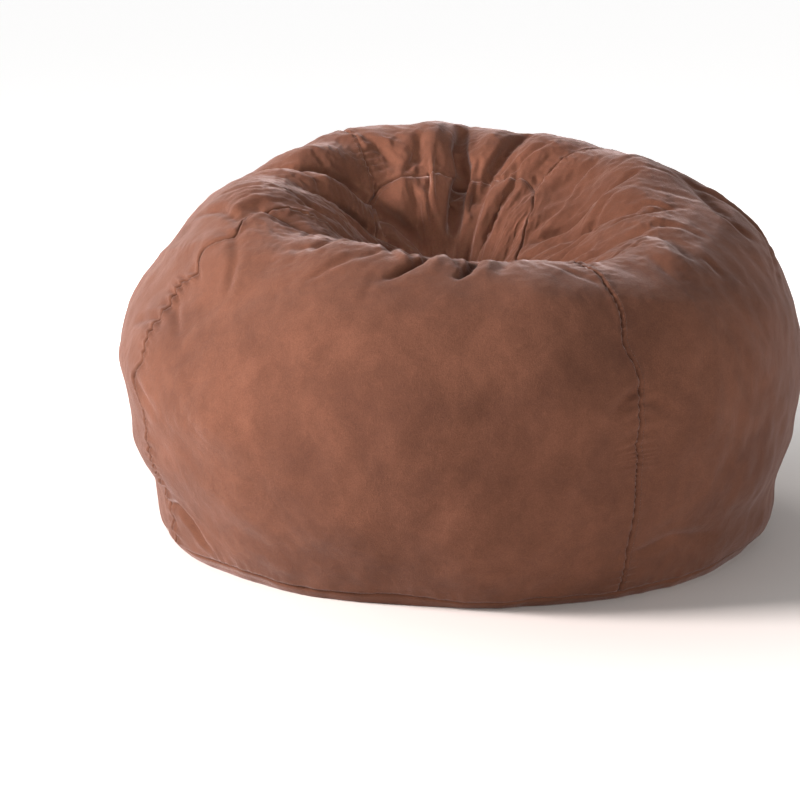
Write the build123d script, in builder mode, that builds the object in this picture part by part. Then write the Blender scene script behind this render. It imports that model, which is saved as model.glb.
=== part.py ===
"""Large round bean bag chair: a sewn cover round a sewn liner full of loose beads.

Millimetres, +Z up, +Y to the back.  The origin is the middle of the flat base, on the floor.
The bag is two bodies of revolution that share a ball-shaped band at the widest ring: the lower
one stands upright on the base, and the upper one, with the rim and the seat hollow, leans forward.
"""

import os
from math import asin, cos, degrees, radians, sin, sqrt, tan

from build123d import *

# The bag as it stands, filled and sat in
bulge_radius = 656          # half the full width, at the widest ring
bulge_height = 320          # the widest ring above the floor
band_angle = 11             # the ball-shaped band reaches this far above and below the ring
foot_radius = 388           # side wall's curve between the band and the base
shoulder_radius = 253       # side wall's curve between the band and the rim
seat_lean = 10              # how far the rim and the seat hollow lean forward
rim_radius = 110            # curve over the rim, into the seat hollow
hollow_slope = 35           # steepest slope of the seat hollow's wall
dish_radius = 120           # curve at the bottom of the seat hollow

# Sewn layers, from the outside in
cover_thickness = 1.2
liner_depth = 4.5           # the liner's outer face, in from the cover's outer face
liner_thickness = 0.8
fill_depth = 8.6            # the beads' outer face, in from the cover's outer face
seam_gap = 0.3              # between the edges of two panels
cap_radius = 150            # the round cap in the middle of the seat hollow

# Gore seams, as bearings round +Z from +X, and the panel that starts at each
panel_seams = {"front": -155, "right": -58, "back": 40, "left": 122}

# Rows of stitching
thread_width = 1.0
thread_height = 0.6
thread_lift = 0.2           # clear of the cloth
stitch_setback = 4          # from the seam

# Coil zips, cut across the chain: u runs up the wall and v out of it, from the cloth's outer face
zip_start = 46              # bearing of the closed end
zip_sweep = 70              # the slot and the tapes
coil_start = 47.2
coil_sweep = 67.6
slot_half_width = 7
tape_edge = 1.4
tape_width = 15
tape_thickness = 0.5
tape_setback = 0.6          # behind the cloth
coil_edge = 0.65
coil_width = 3
coil_thickness = 2.2
slider_half_width = 5.6
slider_plate = 1.0
slider_web = 0.6
slider_play = 0.35
slider_sweep = 1.4          # 14 mm along the chain
slider_parked = 0.1         # from the end stop
stop_sweep = 0.35
cover_zip_slope = 37.5      # how far the wall under each zip faces the floor
liner_zip_slope = 30

# Care label, sewn flat to the right panel near the base
label_bearing = 28
label_slope = 27
label_width = 32
label_height = 55
label_thickness = 0.4
label_lift = 1.6

# Centres of the arcs, in each half's own section
seat_lean_rad = radians(seat_lean)
band_rad = radians(band_angle)
slope_rad = radians(hollow_slope)
foot_centre = (
    (bulge_radius - foot_radius) * cos(band_rad),
    bulge_height - (bulge_radius - foot_radius) * sin(band_rad),
)
shoulder_centre = (
    (bulge_radius - shoulder_radius) * cos(band_rad),
    (bulge_radius - shoulder_radius) * sin(band_rad),
)
rim_centre = (shoulder_centre[0], shoulder_centre[1] + shoulder_radius - rim_radius)
wall_drop = (
    rim_centre[0] - (rim_radius + dish_radius) * sin(slope_rad)
) * tan(slope_rad)
dish_centre = (0, rim_centre[1] + (rim_radius + dish_radius) * cos(slope_rad) - wall_drop)

# The leaning half's axis, its section plane and the plane where the halves part
ball_centre = (0, 0, bulge_height)
seat_axis = Axis(ball_centre, (0, -sin(seat_lean_rad), cos(seat_lean_rad)))
seat_section = Plane(
    ball_centre,
    x_dir=(1, 0, 0),
    z_dir=(0, -cos(seat_lean_rad), -sin(seat_lean_rad)),
)
parting = Plane(ball_centre, x_dir=(1, 0, 0), z_dir=seat_axis.direction)


def bag_solid(inset):
    """The whole bag as one solid, drawn in by inset all over."""
    ball = bulge_radius - inset
    with BuildPart() as seat_half:
        with BuildSketch(seat_section):
            with BuildLine():
                side = CenterArc((0, 0), ball, -90, 90 + band_angle)
                CenterArc(shoulder_centre, shoulder_radius - inset, band_angle, 90 - band_angle)
                crest = CenterArc(rim_centre, rim_radius - inset, 90, hollow_slope)
                dish = CenterArc(dish_centre, dish_radius + inset, -90, hollow_slope)
                Line(crest @ 1, dish @ 1)
                Line(dish @ 0, side @ 0)
            make_face()
        revolve(axis=seat_axis)
        split(bisect_by=parting, keep=Keep.TOP)

    foot = foot_radius - inset
    corner_angle = degrees(asin((foot_centre[1] - inset) / foot))
    with BuildPart() as whole:
        with BuildSketch(Plane.XZ):
            with BuildLine():
                CenterArc((0, bulge_height), ball, -band_angle, 90 + band_angle)
                wall = CenterArc(foot_centre, foot, -corner_angle, corner_angle - band_angle)
                Polyline(wall @ 0, (0, inset), (0, bulge_height + ball))
            make_face()
        revolve(axis=Axis.Z)
        split(bisect_by=parting, keep=Keep.BOTTOM)
        add(seat_half.part)
    return whole.part


def sewn_layer(outer_inset, thickness):
    """A skin of even thickness whose outer face is outer_inset inside the bag's outline."""
    with BuildPart() as skin:
        add(bag_solid(outer_inset))
        add(bag_solid(outer_inset + thickness), mode=Mode.SUBTRACT)
    return skin.part


def base_edge(inset):
    """Radius of the flat base of the outline drawn in by inset."""
    return foot_centre[0] + sqrt((foot_radius - inset) ** 2 - (foot_centre[1] - inset) ** 2)


def wall_plane(inset, slope, bearing):
    """Section plane across the lower wall where it faces slope below level: x up it, y out of it."""
    lean = radians(slope)
    turn = radians(bearing)
    reach = foot_centre[0] + (foot_radius - inset) * cos(lean)
    height = foot_centre[1] - (foot_radius - inset) * sin(lean)
    return Plane(
        (reach * cos(turn), reach * sin(turn), height),
        x_dir=(sin(lean) * cos(turn), sin(lean) * sin(turn), cos(lean)),
        z_dir=(-sin(turn), cos(turn), 0),
    )


def finish_piece(piece, name):
    """Label one finished piece and write it to its own file."""
    piece.label = name
    export_step(piece, f"parts/{name}.step")


def sew_panels(layer_name, outer_inset, thickness, zip_slope):
    """The four gores, the cap and the base of one sewn layer."""
    skin = sewn_layer(outer_inset, thickness)
    floor = outer_inset + thickness + seam_gap
    names = list(panel_seams)
    for index, name in enumerate(names):
        first = panel_seams[name]
        last = panel_seams[names[(index + 1) % len(names)]]
        last += 360 if last < first else 0
        edge_gap = degrees(seam_gap / 2 / bulge_radius)
        with BuildPart() as panel:
            add(skin)
            with BuildSketch(Plane.XY.offset(floor)):
                with BuildLine():
                    reach = 2 * bulge_radius
                    corners = [
                        (reach * cos(radians(turn)), reach * sin(radians(turn)))
                        for turn in (first + edge_gap, last - edge_gap)
                    ]
                    Polyline((0, 0), *corners, close=True)
                make_face()
            extrude(amount=2 * bulge_radius, mode=Mode.INTERSECT)
            with BuildSketch(parting):
                Circle(cap_radius)
            extrude(amount=bulge_radius, mode=Mode.SUBTRACT)
            if name == "back":
                with BuildSketch(wall_plane(outer_inset, zip_slope, zip_start)):
                    Rectangle(2 * slot_half_width, 6 * thickness)
                revolve(axis=Axis.Z, revolution_arc=zip_sweep, mode=Mode.SUBTRACT)
        finish_piece(panel.part, f"{layer_name}_{name}_panel")

    with BuildPart() as cap:
        add(skin)
        with BuildSketch(parting):
            Circle(cap_radius - seam_gap)
        extrude(amount=bulge_radius, mode=Mode.INTERSECT)
    finish_piece(cap.part, f"{layer_name}_top_cap")

    with BuildPart() as base:
        with BuildSketch(Plane.XY.offset(outer_inset)):
            Circle(base_edge(outer_inset))
        extrude(amount=thickness)
    finish_piece(base.part, f"{layer_name}_base_panel")


def swept_strip(plane, low_u, high_u, low_v, high_v, sweep):
    """A strip of rectangular section, carried round the bag's upright axis."""
    with BuildPart() as strip:
        with BuildSketch(plane):
            with Locations(((low_u + high_u) / 2, (low_v + high_v) / 2)):
                Rectangle(high_u - low_u, high_v - low_v)
        revolve(axis=Axis.Z, revolution_arc=sweep)
    return strip.part


def fit_zip(layer_name, outer_inset, thickness, zip_slope):
    """One curved coil zip: two tapes, two coils, two end stops and a slider with no pull tab."""
    tape_face = -thickness - tape_setback
    tape_back = tape_face - tape_thickness
    coil_top = tape_face + coil_thickness
    coil_far = coil_edge + coil_width
    tape_far = tape_edge + tape_width
    tape_plane = wall_plane(outer_inset, zip_slope, zip_start)
    coil_plane = wall_plane(outer_inset, zip_slope, coil_start)

    tapes = {"upper": (tape_edge, tape_far), "lower": (-tape_far, -tape_edge)}
    for side, (low, high) in tapes.items():
        tape = swept_strip(tape_plane, low, high, tape_back, tape_face, zip_sweep)
        finish_piece(tape, f"{layer_name}_zip_{side}_tape")

    coils = {"upper": (coil_edge, coil_far), "lower": (-coil_far, -coil_edge)}
    for side, (low, high) in coils.items():
        coil = swept_strip(coil_plane, low, high, tape_face, coil_top, coil_sweep)
        finish_piece(coil, f"{layer_name}_zip_{side}_coil")

    with BuildPart() as stops:
        for start in (coil_start - stop_sweep, coil_start + coil_sweep):
            stop_plane = wall_plane(outer_inset, zip_slope, start)
            add(swept_strip(stop_plane, -coil_far, coil_far, tape_face, coil_top, stop_sweep))
    finish_piece(stops.part, f"{layer_name}_zip_end_stops")

    plate_low = coil_top + slider_play
    plate_high = plate_low + slider_plate
    keel_high = tape_back - slider_play
    keel_low = keel_high - slider_plate
    slider_plane = wall_plane(outer_inset, zip_slope, coil_start + slider_parked)
    with BuildPart() as slider:
        with BuildSketch(slider_plane):
            with Locations((0, (plate_low + plate_high) / 2), (0, (keel_low + keel_high) / 2)):
                Rectangle(2 * slider_half_width, slider_plate)
            with Locations((0, (keel_low + plate_high) / 2)):
                Rectangle(slider_web, plate_high - keel_low)
            flange_low = tape_face + slider_play
            flange_reach = slider_half_width - slider_plate / 2
            flange_middle = (flange_low + plate_high) / 2
            with Locations((-flange_reach, flange_middle), (flange_reach, flange_middle)):
                Rectangle(slider_plate, plate_high - flange_low)
        revolve(axis=Axis.Z, revolution_arc=slider_sweep)
    finish_piece(slider.part, f"{layer_name}_zip_slider")


os.makedirs("parts", exist_ok=True)

# Outer cover: faux suede gores, cap and base
sew_panels("cover", 0, cover_thickness, cover_zip_slope)
fit_zip("cover", 0, cover_thickness, cover_zip_slope)

# Inner liner: thin woven polyester, the same pattern a little smaller
sew_panels("liner", liner_depth, liner_thickness, liner_zip_slope)
fit_zip("liner", liner_depth, liner_thickness, liner_zip_slope)

# Loose expanded-polystyrene beads, as the one soft lump that they make
fill = bag_solid(fill_depth)
finish_piece(fill, "bead_fill")

# Topstitching on the cover: a layer of thread just outside the cloth, cut into narrow rows
thread_layer = sewn_layer(-thread_lift - thread_height, thread_height)

with BuildPart() as gore_stitching:
    add(thread_layer)
    with BuildSketch(Plane.XY.offset(4 * stitch_setback)):
        for seam in panel_seams.values():
            turn = radians(seam)
            middle = (
                bulge_radius * cos(turn) - stitch_setback * sin(turn),
                bulge_radius * sin(turn) + stitch_setback * cos(turn),
            )
            with Locations(middle):
                Rectangle(2 * bulge_radius, thread_width, rotation=seam)
    extrude(amount=2 * bulge_radius, mode=Mode.INTERSECT)
    with BuildSketch(parting):
        Circle(cap_radius + stitch_setback)
    extrude(amount=bulge_radius, mode=Mode.SUBTRACT)
finish_piece(gore_stitching.part, "cover_gore_stitching")

with BuildPart() as cap_stitching:
    add(thread_layer)
    with BuildSketch(parting):
        Circle(cap_radius - stitch_setback)
        Circle(cap_radius - stitch_setback - thread_width, mode=Mode.SUBTRACT)
    extrude(amount=bulge_radius, mode=Mode.INTERSECT)
finish_piece(cap_stitching.part, "cover_cap_stitching")

base_seam_slope = degrees(asin((foot_centre[1] - 2 * stitch_setback) / foot_radius))
base_rows = 8
row_gap = 0.5               # degrees between one row's end and the next
with BuildPart() as base_stitching:
    for index in range(base_rows):
        row_plane = wall_plane(0, base_seam_slope, 360 / base_rows * index)
        half_width = thread_width / 2
        row_top = thread_lift + thread_height
        row_sweep = 360 / base_rows - row_gap
        add(swept_strip(row_plane, -half_width, half_width, thread_lift, row_top, row_sweep))
finish_piece(base_stitching.part, "cover_base_stitching")

# Blank care label, flat against the wall beside the zip
label_place = wall_plane(0, label_slope, label_bearing)
with BuildPart() as care_label:
    with BuildSketch(label_place.offset(-label_width / 2)):
        with Locations((0, label_lift)):
            Rectangle(label_height, label_thickness)
    extrude(amount=label_width)
finish_piece(care_label.part, "care_label")
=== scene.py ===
import bpy
import numpy as np
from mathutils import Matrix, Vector


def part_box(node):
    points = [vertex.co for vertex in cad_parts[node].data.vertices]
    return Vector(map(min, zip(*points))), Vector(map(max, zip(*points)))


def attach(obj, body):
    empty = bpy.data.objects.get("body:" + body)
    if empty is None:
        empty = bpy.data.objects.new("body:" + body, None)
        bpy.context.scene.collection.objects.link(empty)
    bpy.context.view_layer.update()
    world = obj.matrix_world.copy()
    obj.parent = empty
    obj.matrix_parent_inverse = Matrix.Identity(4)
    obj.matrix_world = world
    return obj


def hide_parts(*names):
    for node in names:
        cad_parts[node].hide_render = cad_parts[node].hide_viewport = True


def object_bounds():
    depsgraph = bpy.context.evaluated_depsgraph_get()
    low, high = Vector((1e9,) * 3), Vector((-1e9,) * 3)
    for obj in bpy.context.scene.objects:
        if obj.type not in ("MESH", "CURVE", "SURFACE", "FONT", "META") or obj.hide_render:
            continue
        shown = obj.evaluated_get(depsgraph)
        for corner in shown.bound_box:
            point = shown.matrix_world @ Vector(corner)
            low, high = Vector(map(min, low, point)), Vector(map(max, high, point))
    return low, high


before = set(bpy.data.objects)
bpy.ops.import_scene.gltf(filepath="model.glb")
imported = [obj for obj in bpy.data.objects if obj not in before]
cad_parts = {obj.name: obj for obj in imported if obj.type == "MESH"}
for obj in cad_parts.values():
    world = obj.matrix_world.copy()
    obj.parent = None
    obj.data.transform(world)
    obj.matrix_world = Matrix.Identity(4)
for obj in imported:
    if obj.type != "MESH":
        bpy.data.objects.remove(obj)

cad_low, cad_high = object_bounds()

# -------------------- the bag's cloth
# Every sewn panel of this chair is cut from one surface: a ball-bellied bag on a flat foot, with
# a seat hollow sat into its top that leans to the front. It is drawn first as a smooth surface,
# then its slack cloth is let buckle by a cloth simulation, and the panels are taken from that.

belly_radius = cad_high.x  # half the full width
belly_height = 0.320  # the widest ring above the floor
belly_band = 11  # degrees of ball above and below the widest ring
foot_curve = 0.388  # radii of the section's arcs, from the foot up
shoulder_curve = 0.253
rim_curve = 0.110
dish_curve = 0.120  # at the hollow's bottom
hollow_slope = 35  # degrees, of the hollow's wall
seat_lean = 10  # degrees, of the seat to the front
cap_radius = 0.150  # of the ring where the cap is sewn in

base_seam_slope = 40.3  # degrees that the wall faces the floor, at the seam
zip_slope = 37.5
zip_half_height = 0.007  # of the slot that the zip shows through
zip_bearings = (46, 116)

seam_bearings = {"front": -155, "right": -58, "back": 40, "left": 122}
columns = 360  # one a degree

band = np.radians(belly_band)
foot_centre = np.array([
    (belly_radius - foot_curve) * np.cos(band),
    belly_height - (belly_radius - foot_curve) * np.sin(band),
])
corner_slope = np.degrees(np.arcsin(foot_centre[1] / foot_curve))


def arc(centre, radius, first, last, steps):
    """Points on a circle, from the first angle up to but not the last, in degrees."""
    turn = np.radians(np.linspace(first, last, steps, endpoint=False))
    return np.array(centre) + radius * np.stack([np.cos(turn), np.sin(turn)], 1)


def wall_section():
    """The bag's section as (radius, height above the belly) from the foot's edge to the hollow's
    middle, with how far each point leans with the seat, 0 to 1, and the rows where seams run.
    It is a chain of arcs and straight walls; each one's last number is its count of rows."""
    slot = np.degrees(zip_half_height / foot_curve)
    foot = foot_centre - [0, belly_height]
    shoulder = (belly_radius - shoulder_curve) * np.array([np.cos(band), np.sin(band)])
    rim = shoulder + [0, shoulder_curve - rim_curve]
    slope = np.radians(hollow_slope)
    drop = (rim[0] - (rim_curve + dish_curve) * np.sin(slope)) * np.tan(slope)
    dish = np.array([0, rim[1] + (rim_curve + dish_curve) * np.cos(slope) - drop])
    crest_end = rim + rim_curve * np.array([-np.sin(slope), np.cos(slope)])
    dish_end = dish + dish_curve * np.array([np.sin(slope), -np.cos(slope)])
    share = (crest_end[0] - cap_radius) / (crest_end[0] - dish_end[0])
    cap_edge = crest_end + share * (dish_end - crest_end)
    pieces = [
        arc(foot, foot_curve, -corner_slope, -base_seam_slope, 2),
        arc(foot, foot_curve, -base_seam_slope, -zip_slope - slot, 1),
        arc(foot, foot_curve, -zip_slope - slot, -zip_slope + slot, 1),
        arc(foot, foot_curve, -zip_slope + slot, -belly_band, 17),
        arc((0, 0), belly_radius, -belly_band, belly_band, 24),
        arc(shoulder, shoulder_curve, belly_band, 90, 34),
        arc(rim, rim_curve, 90, 90 + hollow_slope, 9),
        np.linspace(crest_end, cap_edge, 22, endpoint=False),
        np.linspace(cap_edge, dish_end, 9, endpoint=False),
        arc(dish, dish_curve, hollow_slope - 90, -90, 7)
    ]
    ends = np.cumsum([len(piece) for piece in pieces])
    section = np.concatenate([*pieces, [[0.0005, dish[1] - dish_curve]]])
    angle = np.arctan2(section[:, 1], section[:, 0])
    lean = np.clip((angle + band) / (2 * band), 0, 1)
    lean[ends[4]:] = 1
    lean = lean * lean * (3 - 2 * lean)
    rows = {"base_seam": ends[0], "slot_low": ends[1], "slot_high": ends[2], "belly": ends[3] + 12,
            "crest": ends[5], "cap_seam": ends[7], "middle": len(section) - 1}
    return section, lean, rows


section, lean_share, row_of = wall_section()
walked = np.concatenate([[0], np.cumsum(np.linalg.norm(np.diff(section, axis=0), axis=1))])
bearing = np.arange(columns)
bearing_grid = np.radians(bearing)[None, :] + np.zeros((len(section), 1))
row_ups = walked - walked[row_of["crest"]]  # metres past the crest
up_grid = row_ups[:, None] + np.zeros((1, columns))


def lean_over(points, amount):
    """Turn points about the level line through the belly's middle, to the front, by amount."""
    turn = np.radians(seat_lean) * amount
    out = points.copy()
    out[..., 1] = points[..., 1] * np.cos(turn) - points[..., 2] * np.sin(turn)
    out[..., 2] = points[..., 1] * np.sin(turn) + points[..., 2] * np.cos(turn)
    return out


def outward(points):
    """Unit normals of a grid that goes round in its second direction, from its neighbours."""
    around = np.roll(points, -1, 1) - np.roll(points, 1, 1)
    along = np.gradient(points, axis=0)
    normal = np.cross(around, along)
    return normal / np.maximum(np.linalg.norm(normal, axis=-1, keepdims=True), 1e-9)


def eased(share):
    """A 0 to 1 share that starts and ends gently: three times its square less twice its cube."""
    return share * share * (3 - 2 * share)


def hump(value, middle, reach):
    """1 at middle, falling smoothly to 0 at reach on either side."""
    return eased(np.clip(1 - np.abs(value - middle) / reach, 0, 1))


def turn_between(angle, middle):
    """Signed degrees from middle to angle, the short way round."""
    return (np.degrees(angle) - middle + 180) % 360 - 180


smooth = np.stack([
    section[:, :1] * np.cos(bearing_grid),
    section[:, :1] * np.sin(bearing_grid),
    section[:, 1:] + 0 * bearing_grid,
], -1)
smooth = lean_over(smooth, lean_share[:, None])
smooth[..., 2] += belly_height
smooth_normal = outward(smooth)

# 0 low at the back, where the zips and the label need the designed shape, 1 elsewhere
held_low = 1 - np.clip((up_grid + 0.62) / 0.06, 0, 1)
behind = hump(turn_between(bearing_grid, 80), 0, 75) ** 0.5
calm = 1 - np.clip(2 * held_low * behind, 0, 1)


def cubic_taps(position):
    """The four neighbours of each grid position and their Catmull-Rom weights."""
    first = np.floor(position).astype(int)
    t = position - first
    weights = np.stack([
        -t ** 3 + 2 * t ** 2 - t,
        3 * t ** 3 - 5 * t ** 2 + 2,
        -3 * t ** 3 + 4 * t ** 2 + t,
        t ** 3 - t ** 2,
    ]) / 2
    return first + np.arange(-1, 3).reshape(-1, *[1] * position.ndim), weights


def between(grid, row, column):
    """The grid's value at fractional rows and columns, as a smooth cubic blend."""
    row, column = np.broadcast_arrays(row, column)
    row_index, row_weight = cubic_taps(row)
    column_index, column_weight = cubic_taps(column)
    row_index = np.clip(row_index, 0, len(grid) - 1)
    column_index %= columns
    total = 0
    for i in range(4):
        for j in range(4):
            share = (row_weight[i] * column_weight[j])[..., None]
            total = total + share * grid[row_index[i], column_index[j]]
    return total


def row_at(up):
    """The row whose place along the section is up metres past the crest."""
    return np.interp(up, row_ups, np.arange(len(walked)))


def distance_to_path(points, path):
    """Distance of each point to a line on the smooth bag, and how far along the line it is, 0 to
    1. The line is given as (bearing in degrees, metres past the crest) pairs."""
    turn, up = np.array(path, float).T
    turn = np.degrees(np.unwrap(np.radians(turn)))
    steps = np.linspace(0, len(path) - 1, 4 * len(path))
    line = between(smooth, row_at(np.interp(steps, range(len(path)), up)),
                   np.interp(steps, range(len(path)), turn))
    nearest = np.full(len(points), 1e9)
    along = np.zeros(len(points))
    for number in range(len(line) - 1):
        span = line[number + 1] - line[number]
        share = np.clip((points - line[number]) @ span / (span @ span), 0, 1)
        gap = np.linalg.norm(points - line[number] - share[..., None] * span, axis=-1)
        closer = gap < nearest
        nearest = np.where(closer, gap, nearest)
        along = np.where(closer, (number + share) / (len(line) - 1), along)
    return nearest, along


def near_path(points, path, reach):
    """Which points of a grid may lie within reach of a path."""
    turn, up = np.array(path, float).T
    ends = between(smooth, row_at(up), turn)
    middle = (ends.max(0) + ends.min(0)) / 2
    span = np.linalg.norm(ends - middle, axis=1).max() + reach
    return np.linalg.norm(points - middle, axis=-1) < span


def folded(points, folds):
    """Height of all folds at the points. A fold is a creased groove, deepest along its middle and
    gone at its ends, between two low lips; a fold of negative depth is a ridge."""
    height = np.zeros(points.shape[:-1])
    for path, depth, width in folds:
        near = near_path(points, path, 6 * width)
        distance, along = distance_to_path(points[near], path)
        soft = np.sqrt(distance ** 2 + (0.15 * width) ** 2) - 0.15 * width
        strength = np.sin(np.pi * np.clip(0.06 + 0.88 * along, 0, 1)) ** 0.6
        lips = 0.22 * hump(distance, 2.1 * width, 1.5 * width)
        height[near] += depth * strength * (lips - np.exp(-(soft / width) ** 1.15))
    return height


def lumpy(points, size, seed):
    """A random rolling surface of height about 1: a dozen waves about size long, each in its own
    direction, added up."""
    random = np.random.default_rng(seed)
    heading = random.normal(size=(14, 3))
    heading /= np.linalg.norm(heading, axis=1, keepdims=True)
    heading *= (2 * np.pi / (size * random.uniform(0.7, 1.6, 14)))[:, None]
    start = random.uniform(0, 2 * np.pi, 14)
    return sum(np.sin(points @ h + p) for h, p in zip(heading, start)) * (2 / 14) ** 0.5


# The left shoulder slopes more than the right one, the left wall is tucked in, and the foot
# spreads a little at both sides
left = np.clip(-np.cos(bearing_grid), 0, 1) ** 1.5
right = np.clip(np.cos(bearing_grid), 0, 1) ** 1.5
swell = -0.056 * left * hump(up_grid, -0.20, 0.24) - 0.014 * right * hump(up_grid, -0.22, 0.27)
swell = swell - (0.026 * left + 0.008 * right) * hump(up_grid, -0.57, 0.19)
swell = swell - (0.026 * left + 0.012 * right) * hump(up_grid, -0.71, 0.12)
at_foot = np.clip((-0.67 - up_grid) / 0.12, 0, 1)
flare = (0.018 * left + 0.038 * right) * at_foot * at_foot * (3 - 2 * at_foot) * calm

# Where the beads have settled high or low: bearing, metres past the crest, reach and height
mounds = [
    (-172, 0.03, 0.17, 0.024), (168, 0.12, 0.12, 0.018), (-30, 0.02, 0.2, -0.026),
    (112, -0.03, 0.12, 0.02), (86, -0.03, 0.12, 0.014), (-95, -0.02, 0.16, 0.006),
    (92, 0.28, 0.09, -0.045), (60, 0, 0.1, -0.004),
    (20, 0.16, 0.14, 0.02), (130, 0.2, 0.1, -0.012), (150, -0.25, 0.18, 0.01),
    (-110, -0.35, 0.25, 0.006), (70, 0.2, 0.08, 0.014), (110, 0.18, 0.07, 0.014)
]
for turn, up, reach, height in mounds:
    gap = np.linalg.norm(smooth - between(smooth, row_at(up), turn), axis=-1)
    swell = swell + height * np.exp(-(gap / reach) ** 2)
near_hollow = hump(up_grid, 0.14, 0.32)
swell = swell + (0.003 + 0.006 * near_hollow) * lumpy(smooth, 0.20, 3)

# Big folds where the sitter pushed the top down: path, depth and width
big_folds = [
    ([(88, -0.05), (89, 0.06), (90, 0.12), (88, 0.17), (93, 0.25)], 0.045, 0.03),
    ([(71, -0.06), (74, 0.06), (78, 0.12), (82, 0.19)], 0.024, 0.022),
    ([(152, -0.06), (151, 0.04), (138, 0.1), (127, 0.15), (118, 0.23), (104, 0.33)], 0.038, 0.026),
    ([(168, 0.09), (156, 0.15), (144, 0.2), (126, 0.3)], 0.022, 0.02),
    ([(18, 0.08), (22, 0.19), (36, 0.27)], 0.02, 0.024),
    ([(-8, 0.05), (0, 0.13), (14, 0.24)], 0.018, 0.024),
    ([(101, 0.02), (105, 0.1), (110, 0.18)], 0.018, 0.016),
    ([(52, 0), (56, 0.1), (62, 0.2)], 0.012, 0.016),
    ([(-87, 0.05), (-86, 0.02), (-87, -0.01), (-90, -0.05)], 0.009, 0.013),
    ([(-99, 0.05), (-98, 0.02), (-100, -0.01), (-106, -0.06)], 0.01, 0.013),
    ([(-83, 0.02), (-84, -0.05)], -0.006, 0.014),
    ([(-94, 0.03), (-96, -0.05)], -0.006, 0.014),
    ([(-118, 0.09), (-128, 0.03), (-137, -0.02)], 0.01, 0.016),
    ([(24, -0.05), (6, -0.09), (-6, -0.15)], 0.016, 0.02),
    ([(-22, 0.08), (-27, -0.03), (-36, -0.12)], 0.012, 0.022),
    ([(-150, 0.09), (-163, 0.02), (-160, -0.03)], 0.016, 0.014),
    ([(132, -0.02), (140, -0.11), (152, -0.2)], 0.014, 0.022),
    ([(66, -0.04), (62, -0.13), (64, -0.22)], 0.012, 0.02),
    ([(104, -0.05), (99, -0.14)], 0.01, 0.02),
    ([(89, 0.14), (84, 0.25)], -0.012, 0.018),
    ([(126, -0.01), (110, 0.045)], -0.007, 0.012),
    ([(-74, -0.12), (-61, -0.13), (-50, -0.16), (-37, -0.2)], -0.009, 0.026),
    ([(170, -0.28), (-177, -0.2), (-159, -0.1)], -0.009, 0.018),
    ([(17, -0.11), (12, -0.15), (4, -0.21), (-12, -0.26)], -0.008, 0.013),
    ([(-36, -0.04), (-36, -0.16)], -0.01, 0.022)
]
swell = swell + folded(smooth, big_folds)
drawn = smooth + smooth_normal * (swell * calm)[..., None]
drawn[..., :2] *= 1 + (flare / belly_radius)[..., None]


def new_piece(name, corners, faces):
    """A smooth-shaded mesh object of the given corners and faces, in the scene."""
    mesh = bpy.data.meshes.new(name)
    mesh.from_pydata(corners, [], faces)
    mesh.polygons.foreach_set("use_smooth", np.ones(len(mesh.polygons), bool))
    piece = bpy.data.objects.new(name, mesh)
    bpy.context.collection.objects.link(piece)
    return piece


def slack_cloth(start, slack, hold, pressure, bend, frames):
    """Cloth simulation: the grid becomes a mesh whose threads are longer round the bag by the
    share slack. It is held softly to its drawn place, and fully where hold is 1, blown out from
    the inside as the beads do, and left to buckle."""
    index = np.arange(start.size // 3).reshape(start.shape[:2])
    ahead = np.roll(index, -1, 1)
    faces = np.stack([index[:-1], ahead[:-1], ahead[1:], index[1:]], -1).reshape(-1, 4)
    cloth = new_piece("slack cloth", start.reshape(-1, 3), faces)
    cloth.shape_key_add(name="Basis")
    longer = lean_over(start - [0, 0, belly_height], -lean_share[:, None])
    longer[..., :2] *= 1 + slack[..., None]
    longer = lean_over(longer, lean_share[:, None]) + [0, 0, belly_height]
    key = cloth.shape_key_add(name="longer")
    key.data.foreach_set("co", longer.reshape(-1))
    group = cloth.vertex_groups.new(name="held")
    for level in np.unique(hold):
        group.add(np.flatnonzero(hold == level).tolist(), float(level), "REPLACE")
    modifier = cloth.modifiers.new("Cloth", "CLOTH")
    modifier.settings.effector_weights.gravity = 0
    for name, value in {
        "quality": 5, "mass": 0.3, "tension_stiffness": 15, "compression_stiffness": 15,
        "shear_stiffness": 8, "bending_stiffness": bend, "tension_damping": 5,
        "compression_damping": 5, "air_damping": 1, "use_pressure": True,
        "uniform_pressure_force": pressure, "vertex_group_mass": "held",
        "pin_stiffness": 0.02, "rest_shape_key": key,
    }.items():
        setattr(modifier.settings, name, value)
    modifier.point_cache.frame_start = 1
    modifier.point_cache.frame_end = frames
    scene = bpy.context.scene
    for step in range(1, frames + 1):
        scene.frame_set(step)
    shaped = cloth.evaluated_get(bpy.context.evaluated_depsgraph_get()).to_mesh()
    flat = np.empty(start.size)
    shaped.vertices.foreach_get("co", flat)
    scene.frame_set(1)
    bpy.data.objects.remove(cloth)
    return flat.reshape(start.shape)


rng = np.random.default_rng(7)
unevenness = rng.normal(0, 1, drawn.shape[:2]) * (0.00015 + 0.0008 * near_hollow)
start = drawn + smooth_normal * (unevenness * calm)[..., None]
slack = 0.20 * hump(up_grid, 0.05, 0.35) + 0.03 * hump(up_grid, -0.25, 0.35)
hold = np.full(drawn.shape[:2], 0.3)
hold[calm < 0.5] = 1
hold[:row_of["base_seam"] + 1] = 1
hold[-2:] = 0.8
most_move = 0.050
moved = slack_cloth(start, slack, hold, pressure=4, bend=1.5, frames=20) - drawn
distance = np.linalg.norm(moved, axis=-1, keepdims=True)
settled = drawn + moved * np.minimum(1, most_move / np.maximum(distance, 1e-9))
settled = drawn + (settled - drawn) * calm[..., None]
settled_normal = outward(settled)


# -------------------- cover gores
# Four tall panels of brown faux suede, sewn edge to edge down the sides of the bag. Each seam's
# edges turn in, and its thread draws the cloth into a groove with small puckers beside it. The
# back gore has a slot low down for the zip.


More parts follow.
